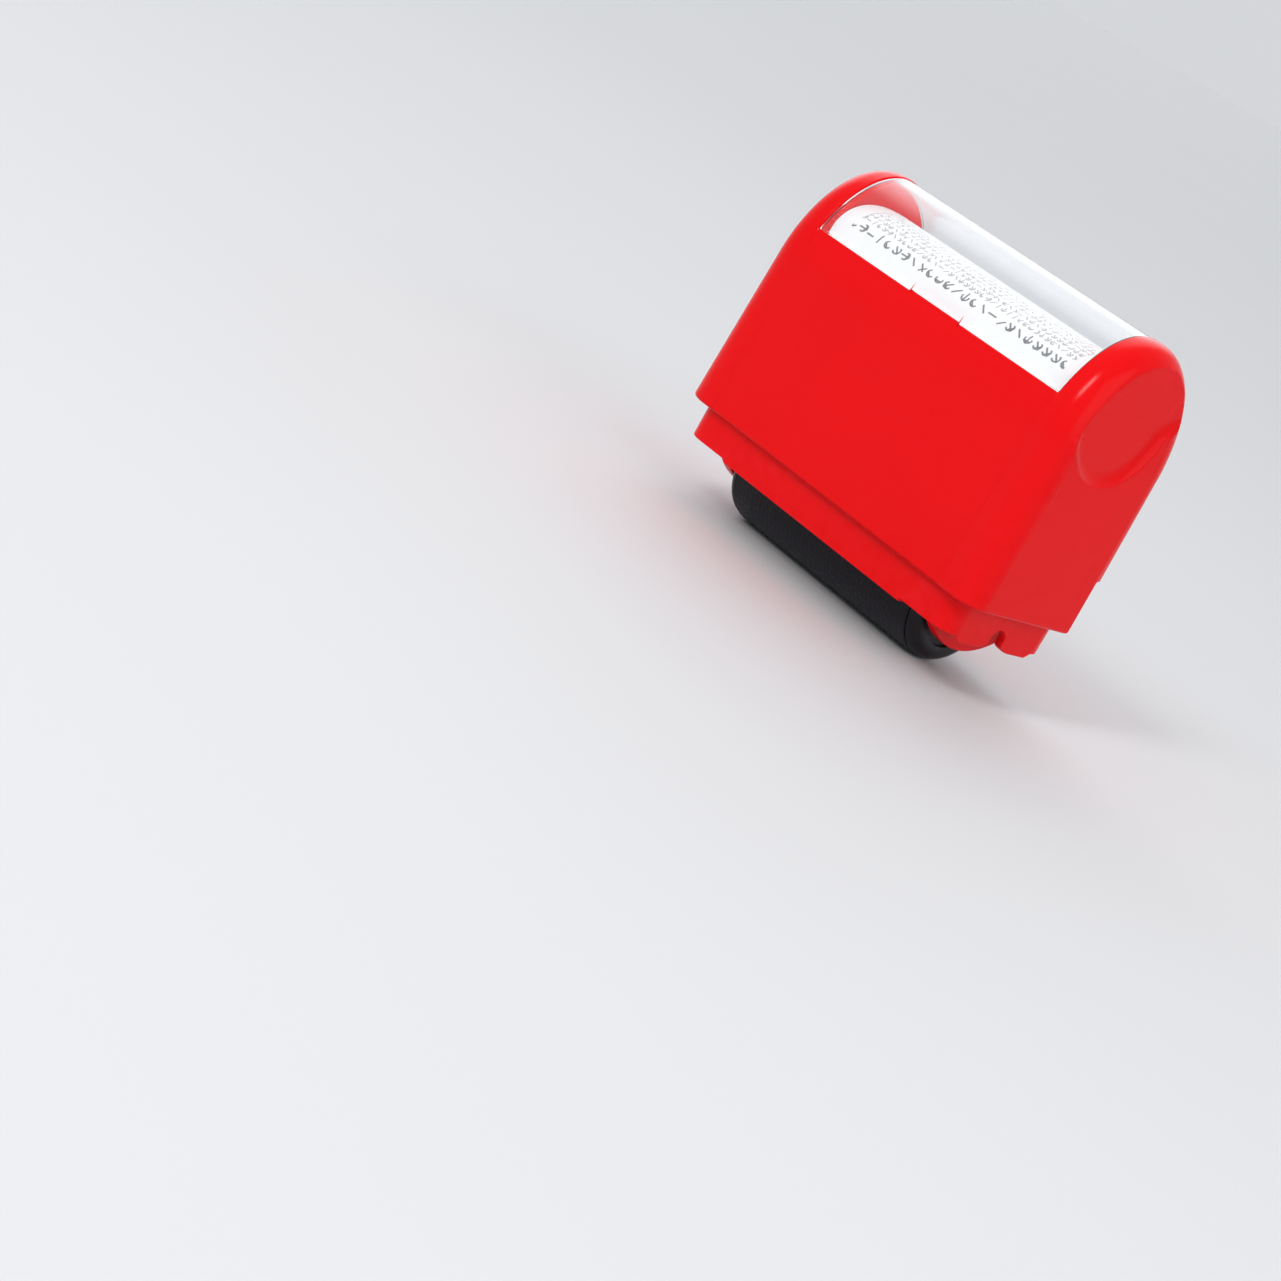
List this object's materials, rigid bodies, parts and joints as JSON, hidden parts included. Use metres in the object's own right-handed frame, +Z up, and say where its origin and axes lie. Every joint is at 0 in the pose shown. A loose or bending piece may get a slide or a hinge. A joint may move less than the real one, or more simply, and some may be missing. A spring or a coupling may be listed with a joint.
{
  "type": "privacy roller stamp",
  "caption": "Hand-held ink roller stamp: an arched red casing with a clear label window slides over a frame that carries a self-inking printing roller.",
  "frame": {"origin": "under the middle of the printing roller, on the surface that the roller runs on", "axes": "+X along the roller axles, +Y towards the back wall, +Z up out of the paper towards the arched crown"},
  "size_m": [0.062, 0.0276, 0.0542],
  "materials": {
    "red_plastic": "glossy moulded red",
    "clear_plastic": "clear polished",
    "card": "matt white card",
    "tank_plastic": "satin",
    "die_rubber": "fine matt, inked",
    "black_plastic": "satin gloss",
    "foam": "open-cell foam soaked in ink",
    "felt": "felt soaked in ink",
    "steel": "bright drawn",
    "nylon": "natural nylon",
    "plug_rubber": "soft matt"
  },
  "bodies": {
    "frame_unit": {"frame": "red_plastic", "ink_tank": "tank_plastic", "tank_lid": "tank_plastic", "reservoir_felt": "felt", "feed_wick": "felt", "die_bush_left": "nylon", "die_bush_right": "nylon", "ink_bush_left": "nylon", "ink_bush_right": "nylon"},
    "casing_unit": {"casing": "red_plastic", "window_lens": "clear_plastic", "label_card": "card"},
    "plug": {"refill_plug": "plug_rubber"},
    "printing_roller": {"die_sleeve": "die_rubber", "die_hub": "black_plastic", "die_axle": "steel", "die_flange_left": "black_plastic", "die_flange_right": "black_plastic", "axle_clip_left": "steel", "axle_clip_right": "steel"},
    "ink_roller": {"ink_roller_foam": "foam", "ink_roller_core": "black_plastic", "ink_axle": "steel"}
  },
  "joints": [
    {"name": "casing_lift", "type": "slide", "parent": "frame_unit", "child": "casing_unit", "axis": [0, 0, 1], "range_m": [0, 0.032]},
    {"name": "plug_pull", "type": "slide", "parent": "frame_unit", "child": "plug", "axis": [0, 0, 1], "range_m": [0, 0.004]},
    {"name": "die_spin", "type": "hinge", "parent": "frame_unit", "child": "printing_roller", "pos_m": [0, 0, 0.0086], "axis": [1, 0, 0], "continuous": true},
    {"name": "ink_spin", "type": "hinge", "parent": "frame_unit", "child": "ink_roller", "pos_m": [0, 0, 0.0227], "axis": [1, 0, 0], "continuous": true}
  ],
  "couplings": [
    {"joint": "ink_spin", "follows": "die_spin", "ratio": -1.6538}
  ]
}
